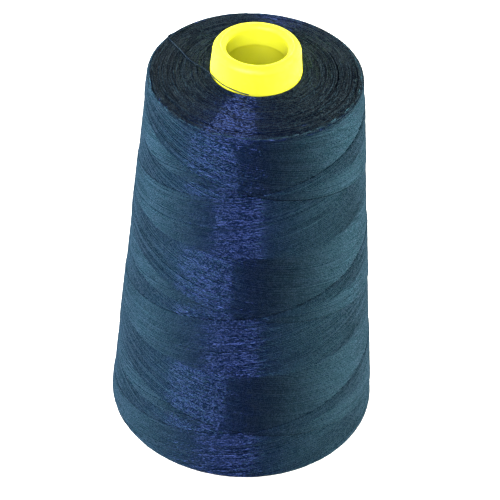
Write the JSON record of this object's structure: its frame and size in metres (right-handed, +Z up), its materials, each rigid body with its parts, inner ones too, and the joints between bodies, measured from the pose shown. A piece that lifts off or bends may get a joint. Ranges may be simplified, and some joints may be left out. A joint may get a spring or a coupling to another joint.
{
  "type": "spool of thread",
  "caption": "Upright cone of sewing thread: hollow round-nosed moulded core, cross-wound tapered thread package and a short loose thread end.",
  "frame": {"origin": "centre of the core's base ring, on the surface the cone stands on", "axes": "+Z up the cone's axis, from base to nose; the loose thread end lies on the -X side, towards -Y"},
  "size_m": [0.0798, 0.0798, 0.133],
  "materials": {
    "core_plastic": "satin moulded lemon-yellow plastic",
    "thread": "dark navy spun sewing thread with a soft lustre"
  },
  "bodies": {
    "root": {"core_cone": "core_plastic", "thread_package": "thread", "thread_tail": "thread"}
  },
  "joints": []
}
